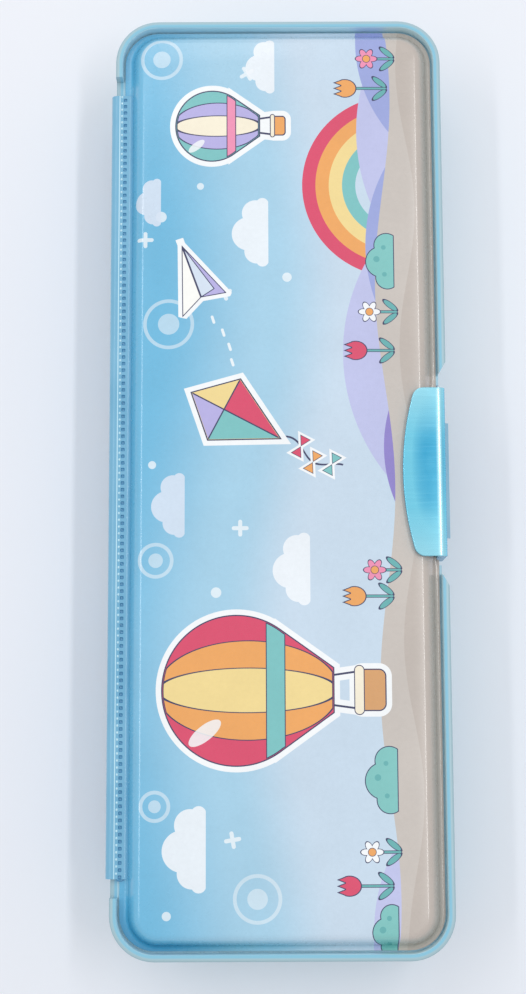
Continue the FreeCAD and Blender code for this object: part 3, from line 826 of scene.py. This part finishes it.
# slow waves of the foam along x, along y and aslant, which die out at the pad's edge
padWaves = {
    "x": (0.11, 0.8), "y": (0.047, 0.3), "slant": (0.083, 0.06), "slantShare": 0.6, "share": 0.6,
    "swell": 0.08, "fade": (4, 8),
}


# how far a place lies outside the pad's rounded outline
def outlineGap(x, y):
    corner = cover["corner"]
    past = (abs(x - cover["middleX"]) - cover["half"] + corner, abs(y) - cover["y"][1] + corner)
    return math.hypot(max(past[0], 0), max(past[1], 0)) + min(max(past), 0) - corner


def padSwell(x, y, offset):
    (rateX, startX), (rateY, startY), (slantY, slantX) = padWaves["x"], padWaves["y"], padWaves["slant"]
    wave = math.sin(x * rateX + startX) * math.sin(y * rateY + startY)
    wave += padWaves["slantShare"] * math.sin(y * slantY + x * slantX)
    fadeX, fadeY = padWaves["fade"]
    edge = max(0.0, 1 - offset**fadeX) * max(0.0, 1 - (y / cover["y"][1]) ** fadeY)
    return padWaves["swell"] * (1 - wave * padWaves["share"]) * edge


def makeCover():
    piece = addBlock("lid_cover", cover["x"], cover["y"], cover["z"])
    pick("edges", isUpright)
    bevelEdges(cover["corner"], cover["cornerSteps"])
    top = cover["z"][1]
    pick("edges", lambda a, b: a.z > top - close and b.z > top - close)
    bevelEdges(cover["roll"], cover["rollSteps"])
    roll = cover["roll"]
    for axis, name, grid in ((0, "x", "gridX"), (1, "y", "gridY")):
        first, last = cover[name][0] + roll, cover[name][1] - roll
        bisectAt(piece, axis, [first, *spacedCuts(first, last, cover[grid]), last])
    # rolled edge, crown across the width, and the slight unevenness of a foam pad
    low = cover["z"][0]
    foot = cover["borderZ"][1] - cover["footSink"]
    for vert in piece.data.vertices:
        x, y, z = vert.co / mm
        if z > low + close:
            inward = min(1.0, max(0.0, -outlineGap(x, y) / roll))
            z = foot + (top - foot) * (1 - (1 - inward) ** cover["lean"])
            vert.co.z = z * mm
        lift = max(0.0, (z - low) / (top - low))
        offset = (x - cover["middleX"]) / cover["half"]
        sink = cover["crown"] * offset * offset
        vert.co.z -= (sink + padSwell(x, y, offset)) * lift * mm
    border = addBlock("lid_border", cover["borderX"], cover["borderY"], cover["borderZ"])
    pick("edges", lambda a, b: (a - b).xy.length < close)
    bevelEdges(cover["borderCorner"], cover["cornerSteps"])
    tab = addBlock("lid_tab", cover["tabX"], cover["tabY"], cover["borderZ"])
    combine(border, tab, "UNION")
    notchY = cover["notchY"]
    notch = addBlock("lid_notch", cover["notchX"], (-notchY, notchY), cover["notchZ"])
    combine(border, notch, "DIFFERENCE")
    combine(piece, border, "UNION")
    mergeClose(piece)
    # a small hollow where the film runs from the border into the roll
    level = cover["borderZ"][1]
    notchX, margin = cover["notchFoot"]
    nearXY, nearZ = cover["footNear"]

    def atFoot(spot):
        atNotch = spot.x > notchX and abs(spot.y) < notchY + margin
        return abs(outlineGap(spot.x, spot.y)) < nearXY and abs(spot.z - level) < nearZ and not atNotch

    makeActive(piece)
    pick("edges", lambda a, b: atFoot(a) and atFoot(b))
    bevelEdges(cover["foot"], cover["footSteps"])
    bisectAt(piece, 1, printLengths[1:-1])
    mergeClose(piece)
    smoothBy(piece, cover["smooth"])
    piece.data.materials.clear()
    for low, high in zip(printLengths, printLengths[1:]):
        piece.data.materials.append(printedMaterial(low, high))
    for face in piece.data.polygons:
        face.material_index = sum(face.center.y > place * mm for place in printLengths[1:-1])
    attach(piece, "lid")
    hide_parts("lid_film", "lid_print", "lid_foam")
    print("lid cover:", len(piece.data.polygons), "faces")


makeCover()


# hinge vinyl in one sheet, modelled as one seam pitch and repeated along the box
hinge = {
    "length": 199.0, "rows": 117, "thick": 0.9, "topZ": 25.1, "edgeX": (-41.3, -38.6), "smooth": 50,
    "feather": ((0.45, -0.12), (0.4, -0.25), (0.35, -0.35)),
    "bendX": -41.6, "bendZ": 23.5, "bendSteps": 8, "spineRuns": (1.5, 3.0, 14.5), "lineX": (-41.15, -40.9),
    "beadX": (-40.75, -40.1), "beadY": (0.12, 0.8), "beadRise": 0.25,
    "pitX": (-40.05, -39.1), "pitY": (-0.8, 0.12), "pitDepth": 0.32,
    "dotInset": 0.04, "dotCorner": 0.2, "dotSteps": 3, "dotRings": ((0.08, 0.7), (0.1, 0.3)),
    "dotNear": (0.05, 0.12), "flat": 0.03,
    "blendStart": (-42.75, 0, 22.0), "blendEnd": (-41.0, 0, 24.65),
}
hingeLook = {
    "cloud": 60.0, "grain": 900.0, "bump": 0.25, "depth": 0.04, "rough": 0.36, "coat": 0.5, "coatRough": 0.16,
}
hingeTones = {
    # the pit tone is a painted shade and the bead tone a painted highlight
    "flat": ("#78B6D6", "#6AACCE"),
    "pitShade": ("#4C95BF", "#428AB5"),
    "beadHighlight": ("#C4EAF8", "#B4E0F2"),
}


def makeHinge():
    pitch = hinge["length"] / hinge["rows"]
    top = hinge["topZ"]
    outerX, innerX = hinge["edgeX"]
    deselectAll()
    bpy.ops.mesh.primitive_plane_add(size=1, location=metres(((outerX + innerX) / 2, 0, top)))
    piece = bpy.context.object
    piece.name = piece.data.name = "hinge_sheet"
    piece.scale = ((innerX - outerX) * mm, pitch * mm, 1)
    applyPlace(piece)
    bisectAt(piece, 0, [*hinge["lineX"], *hinge["beadX"], *hinge["pitX"]])
    bisectAt(piece, 1, sorted({*hinge["beadY"], *hinge["pitY"]}))
    beads = (hinge["beadX"], hinge["beadY"], hinge["beadRise"])
    pits = (hinge["pitX"], hinge["pitY"], -hinge["pitDepth"])
    nearFirst, nearAgain = hinge["dotNear"]
    for spanX, spanY, rise in (beads, pits):
        spot = Vector((sum(spanX) / 2, sum(spanY) / 2))
        makeActive(piece)
        pick("faces", lambda middle, normal: (middle.xy - spot).length < nearFirst)
        bpy.ops.mesh.inset(thickness=hinge["dotInset"] * mm)
        bpy.ops.mesh.bevel(offset=hinge["dotCorner"] * mm, segments=hinge["dotSteps"], affect="VERTICES")
        setMode("OBJECT")
        pick("faces", lambda middle, normal: (middle.xy - spot).length < nearAgain)
        for thickness, share in hinge["dotRings"]:
            bpy.ops.mesh.inset(thickness=thickness * mm, depth=0)
            bpy.ops.transform.translate(value=(0, 0, rise * share * mm))
        setMode("OBJECT")
    # materials by the order of hingeTones: flat, pit in painted shade, bead in painted highlight; the line
    # beside the beads, along the bend's crest, takes the painted highlight too
    for face in piece.data.polygons:
        rise = face.center.z / mm - top
        light = rise > hinge["flat"] or hinge["lineX"][0] < face.center.x / mm < hinge["lineX"][1]
        face.material_index = 1 if rise < -hinge["flat"] else 2 if light else 0

    def pickSide(x):
        pick("edges", lambda a, b: abs(a.x - x) < close and abs(b.x - x) < close)

    # thin inner edge, down to the film
    pickSide(innerX)
    for run, drop in hinge["feather"]:
        extrude(run, drop)
    setMode("OBJECT")
    # round the bend and down the back wall
    pickSide(outerX)
    extrude(hinge["bendX"] - outerX, 0)
    bpy.ops.mesh.spin(steps=hinge["bendSteps"], angle=math.radians(90), axis=(0, 1, 0),
                      center=metres((hinge["bendX"], 0, hinge["bendZ"])))
    for length in hinge["spineRuns"]:
        extrude(0, -length)
    setMode("OBJECT")
    addModifier(piece, "ARRAY", count=hinge["rows"], use_relative_offset=False, use_constant_offset=True,
                constant_offset_displace=(0, pitch * mm, 0), use_merge_vertices=True,
                merge_threshold=close * mm)
    for vert in piece.data.vertices:
        vert.co.y += (pitch - hinge["length"]) / 2 * mm
    mergeClose(piece)
    if piece.data.polygons[0].normal.z < 0:
        makeActive(piece)
        setMode("EDIT")
        bpy.ops.mesh.select_all(action="SELECT")
        bpy.ops.mesh.flip_normals()
        setMode("OBJECT")
    addModifier(piece, "SOLIDIFY", thickness=hinge["thick"] * mm, offset=-1.0)
    smoothBy(piece, hinge["smooth"])
    for name, tones in hingeTones.items():
        piece.data.materials.append(plasticMaterial("hingeVinyl_" + name, {**hingeLook, "tones": tones}))
    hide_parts("hinge_spine", "hinge_flange")
    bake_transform(piece)
    print("hinge sheet:", len(piece.data.polygons), "faces")


makeHinge()


# plated clasp shell: bowed inner edge, folded over the lid's edge
clasp = {
    "edgeX": 30.6, "bulge": 3.2, "skirtX": 41.4, "coreX": 39.0, "half": 21.2, "plateZ": 28.1, "topZ": 29.8,
    "bottomZ": 14.4, "fold": 2.0, "foldSteps": 8, "flare": 0.3, "flareReach": 0.1, "corner": 2.0,
    "cornerSteps": 5, "near": 0.05, "shell": 0.8, "hollowClear": 0.1, "soften": 0.42, "softenSteps": 3,
    "softenAngle": 40, "slices": 2.65, "smooth": 35,
}


def claspForm(name, inset, clear):
    half = clasp["half"] - inset
    left, right, top = clasp["edgeX"] + inset, clasp["skirtX"] - inset, clasp["topZ"] - inset
    piece = addBlock(name, (left, right), (-half, half), (clasp["plateZ"] - clear, top))
    core = clasp["coreX"] - clear
    bisectAt(piece, 0, [core])
    makeActive(piece)
    pick("faces", lambda middle, normal: normal.z < -0.9 and middle.x > core)
    drop = clasp["plateZ"] - clear - clasp["bottomZ"] + clear * 2
    extrude(0, -drop)
    setMode("OBJECT")
    pick("edges", lambda a, b: min(a.x, b.x) > right - close and min(a.z, b.z) > top - close)
    bevelEdges(clasp["fold"] - inset, clasp["foldSteps"])
    for vert in piece.data.vertices:
        if vert.co.x > (right - close) * mm and vert.co.z < (clasp["bottomZ"] + clasp["flareReach"]) * mm:
            vert.co.x += clasp["flare"] * mm
    bisectAt(piece, 1, spacedCuts(-half, half, clasp["slices"]))
    for vert in piece.data.vertices:
        if vert.co.x < (left + close) * mm:
            vert.co.x += clasp["bulge"] * (vert.co.y / mm / half) ** 2 * mm
    cornerX = left + clasp["bulge"]
    near = clasp["near"]
    makeActive(piece)
    pick("edges", lambda a, b: isUpright(a, b) and abs(a.x - cornerX) < near and abs(abs(a.y) - half) < near)
    bevelEdges(clasp["corner"] - inset, clasp["cornerSteps"])
    return piece


claspLook = {
    # the tones below include the painted reflection, painted highlight and painted shade of the plating
    "deep": "#43AEDA", "light": "#7ED8F2", "pale": "#AEEAF9", "foldHighlight": "#BFECF8", "skirt": "#3F9CC4",
    "brush": (60.0, 5.0, 0.65, (1.4, 30.0, 1.4)), "cloud": (110.0, 4.0), "span": (0.3, 0.7),
    "endsY": (9.0, 21.0), "endsShare": (0.4, 0.9), "patch": (37.3, 2.2), "patchSize": (3.8, 13.5),
    "patchFade": (0.1, 1.5), "patchShare": (0.55, 1.0), "scratch": 0.12, "scratchSpan": (0.55, 0.75),
    "fold": (38.8, 39.4, 40.0, 40.5), "foldHighlightShare": (0.6, 1.0), "skirtZ": (28.2, 29.3),
    "metallic": (0.6, 0.1), "rough": (0.24, 0.3), "coat": 0.12, "coatRough": 0.08, "bump": (0.03, 0.006),
}


def claspMaterial():
    look = claspLook
    material, tree, shader = newMaterial("platedCyan")
    where = objectSpot(tree)
    brush = noise(tree, where, *look["brush"])
    cloud = noise(tree, where, *look["cloud"])
    x, y, z = apart(tree, where)
    # painted reflection: a deep patch in the middle and paler ends; and fine scratches
    shares = []
    for value, middle, reach in zip((x, y), look["patch"], look["patchSize"]):
        share = calc(tree, "DIVIDE", calc(tree, "SUBTRACT", value, middle * mm), reach * mm)
        shares.append(calc(tree, "POWER", share, 2.0))
    patch = between(tree, calc(tree, "ADD", *shares), 1.0, 0.0, *look["patchFade"])
    patch = calc(tree, "MULTIPLY", patch, between(tree, cloud, *look["patchShare"], *look["span"]))
    body = mixColour(tree, patch, tint(look["light"]), tint(look["deep"]))
    ends = between(tree, calc(tree, "ABSOLUTE", y), 0.0, 1.0, *metres(look["endsY"]))
    ends = calc(tree, "MULTIPLY", ends, between(tree, cloud, *look["endsShare"]))
    body = mixColour(tree, ends, body, tint(look["pale"]))
    scratch = between(tree, brush, 0.0, look["scratch"], *look["scratchSpan"])
    body = mixColour(tree, scratch, body, tint(look["pale"]))
    # painted highlight: a pale band along the fold
    inner, bright, last, outer = metres(look["fold"])
    rising = between(tree, x, 0.0, 1.0, inner, bright)
    fold = calc(tree, "MINIMUM", rising, between(tree, x, 1.0, 0.0, last, outer))
    fold = calc(tree, "MULTIPLY", fold, between(tree, cloud, *look["foldHighlightShare"], *look["span"]))
    body = mixColour(tree, fold, body, tint(look["foldHighlight"]))
    # painted shade: the skirt below the fold takes a deeper tone than the top, and less metal
    skirt = between(tree, z, 1.0, 0.0, *metres(look["skirtZ"]))
    tree.links.new(mixColour(tree, skirt, body, tint(look["skirt"])), shader.inputs["Base Color"])
    feed(tree, shader.inputs["Metallic"], between(tree, skirt, *look["metallic"]))
    feed(tree, shader.inputs["Roughness"], between(tree, brush, *look["rough"], *look["span"]))
    setInputs(shader, {"Coat Weight": look["coat"], "Coat Roughness": look["coatRough"]})
    setInputs(shader, {"Specular Tint": tint(look["light"])})
    bump(tree, shader, brush, *look["bump"])
    return material


def makeClasp():
    piece = claspForm("clasp_shell", 0.0, 0.0)
    addModifier(piece, "BEVEL", width=clasp["soften"] * mm, segments=clasp["softenSteps"],
                limit_method="ANGLE", angle_limit=math.radians(clasp["softenAngle"]))
    inner = claspForm("clasp_hollow", clasp["shell"], clasp["hollowClear"])
    combine(piece, inner, "DIFFERENCE")
    mergeClose(piece)
    smoothBy(piece, clasp["smooth"])
    dress(piece, claspMaterial())
    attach(piece, "lid")
    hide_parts("clasp_cap")
    print("clasp shell:", len(piece.data.polygons), "faces")


makeClasp()


# finishes of the CAD nodes that stay
combLook = {"tones": ("#EAF1F4", "#DDE8EE"), "cloud": 50.0, "grain": 800.0, "rough": 0.4}
nodeLooks = {
    "case_tray": {
        "tones": ("#AFDAE6", "#A3D3E2"), "cloud": 40.0, "grain": 700.0, "depth": 0.03, "rough": 0.36,
        "coat": 0.15, "coatRough": 0.2,
    },
    "pencil_comb_near": combLook,
    "pencil_comb_far": combLook,
    "hinge_batten": {"tones": ("#8FC4DA", "#82B9D2"), "cloud": 50.0, "grain": 700.0, "rough": 0.45},
    "hinge_rivets": {
        "tones": ("#D5DADF", "#B9C1C9"), "cloud": 300.0, "grain": 1500.0, "bump": 0.15, "depth": 0.02,
        "rough": 0.3, "metallic": 1.0,
    },
    "keeper_plate": {
        "tones": ("#C4C8CC", "#AEB4BA"), "cloud": 120.0, "grain": 60.0, "stretch": (60, 1.5, 60),
        "depth": 0.02, "rough": 0.33, "metallic": 1.0,
    },
    "lid_board": {
        "tones": ("#A79F93", "#8F887D"), "cloud": 200.0, "grain": 900.0, "bump": 0.5, "rough": 0.85,
    },
    "lid_lining": {
        "tones": ("#8FC9E2", "#88C4DF"), "cloud": 30.0, "grain": 1300.0, "bump": 0.5, "depth": 0.06,
        "rough": 0.45,
    },
    "clasp_core": {
        "tones": ("#9CC8DE", "#8FBED6"), "cloud": 90.0, "grain": 800.0, "rough": 0.32, "coat": 0.2,
    },
    "clasp_magnets": {
        "tones": ("#33353A", "#25272B"), "cloud": 200.0, "grain": 1200.0, "bump": 0.4, "rough": 0.6,
    },
    "clasp_post_caps": {**combLook, "cloud": 90.0, "grain": 900.0},
}


# painted light on the rim, by the distance in from its rounded outline: a painted reflection makes it paler
# outside and bluer inside, a painted shade darkens a thin line near its outer edge, and a painted reflection
# lightens its inner wall
rimPaintedLight = {
    "half": (42.0, 119.0), "corner": 11.0, "z": (21.0, 22.5), "inside": (1.9, 2.3),
    "outer": "#A6C4CE", "inner": "#88C5DD", "split": (0.75, 1.15),
    "edge": "#7FA8B4", "line": (0.12, 0.3), "edgeShadeShare": 0.6, "wall": "#C6E9F4", "drop": (1.62, 1.78),
}


def paintRimLight(material):
    tones = rimPaintedLight
    tree = material.node_tree
    shader = tree.nodes["Principled BSDF"]
    below = shader.inputs["Base Color"].links[0].from_socket
    x, y, z = apart(tree, objectSpot(tree))
    flat = joined(tree, calc(tree, "MULTIPLY", x, 1 / mm), calc(tree, "MULTIPLY", y, 1 / mm))
    corner = tones["corner"]
    straight = [half - corner for half in tones["half"]]
    past = vec(tree, "SUBTRACT", vec(tree, "ABSOLUTE", flat), (*straight, 0))
    outside = vec(tree, "LENGTH", vec(tree, "MAXIMUM", past, (0, 0, 0)))
    pastX, pastY = apart(tree, past)[:2]
    within = calc(tree, "MINIMUM", calc(tree, "MAXIMUM", pastX, pastY), 0.0)
    depth = calc(tree, "SUBTRACT", corner, calc(tree, "ADD", outside, within))
    # painted reflection: paler outside, bluer inside
    inward = between(tree, depth, 0.0, 1.0, *tones["split"])
    tone = mixColour(tree, inward, tint(tones["outer"]), tint(tones["inner"]))
    # painted shade: a thin darker line near the outer edge
    line = between(tree, depth, tones["edgeShadeShare"], 0.0, *tones["line"])
    tone = mixColour(tree, line, tone, tint(tones["edge"]))
    # painted reflection: the inner wall is lightened
    wall = between(tree, depth, 0.0, 1.0, *tones["drop"])
    tone = mixColour(tree, wall, tone, tint(tones["wall"]))
    share = between(tree, z, 0.0, 1.0, *metres(tones["z"]))
    share = calc(tree, "MULTIPLY", share, between(tree, depth, 1.0, 0.0, *tones["inside"]))
    tree.links.new(mixColour(tree, share, below, tone), shader.inputs["Base Color"])


def dressNodes():
    made = {}
    for name, look in nodeLooks.items():
        key = json.dumps(look, sort_keys=True)
        if key not in made:
            made[key] = plasticMaterial(name + "_finish", look)
        node = nodes[name]
        for slot in node.material_slots:
            slot.material = made[key]


dressNodes()
paintRimLight(nodes["case_tray"].material_slots[0].material)
print("CAD nodes dressed:", len(nodeLooks))
